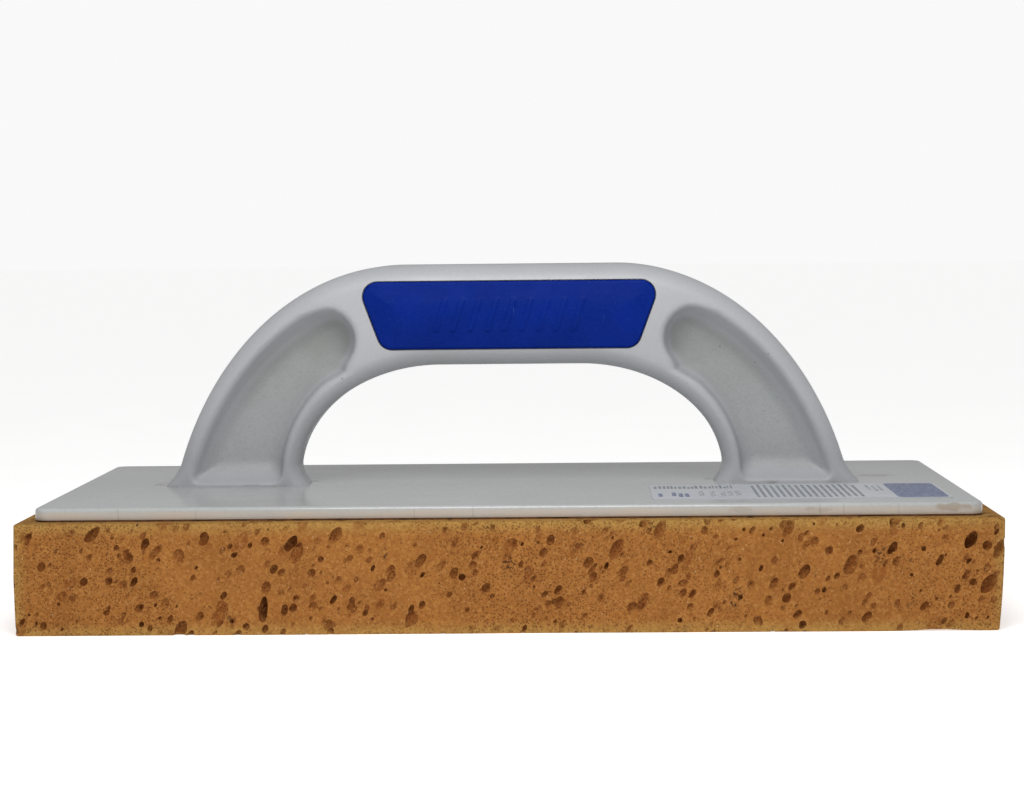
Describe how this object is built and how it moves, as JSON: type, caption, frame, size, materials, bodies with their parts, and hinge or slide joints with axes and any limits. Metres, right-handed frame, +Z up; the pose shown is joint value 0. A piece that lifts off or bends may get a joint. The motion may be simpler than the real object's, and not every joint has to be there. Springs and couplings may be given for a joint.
{
  "type": "sponge grout float",
  "caption": "Sponge float for washing off tile grout: a sponge pad glued under a flat plastic plate, with an arched handle that has soft grip inlays.",
  "frame": {"origin": "centre of the sponge's underside, the face that works on the tiles", "axes": "+X along the float's length, +Y across it, away from the side with the label, +Z up from the sponge to the handle"},
  "size_m": [0.28, 0.14, 0.1036],
  "materials": {
    "sponge": "open-cell foam with large and small pores, matt",
    "glue": "dried contact adhesive, dull",
    "plate_plastic": "light grey moulded plastic, slightly glossy, used",
    "handle_plastic": "light grey moulded plastic with a fine spark-eroded grain, satin",
    "soft_grip": "blue soft-touch inlay, satin, with raised ribs",
    "screw_steel": "zinc plated",
    "label": null
  },
  "bodies": {
    "root": {"sponge_pad": "sponge", "glue_film": "glue", "base_plate": "plate_plastic", "handle_body": "handle_plastic", "grip_inlay_front": "soft_grip", "grip_inlay_rear": "soft_grip", "screw_left_outer": "screw_steel", "screw_left_inner": "screw_steel", "screw_right_inner": "screw_steel", "screw_right_outer": "screw_steel", "label_sticker": "label"}
  },
  "joints": []
}
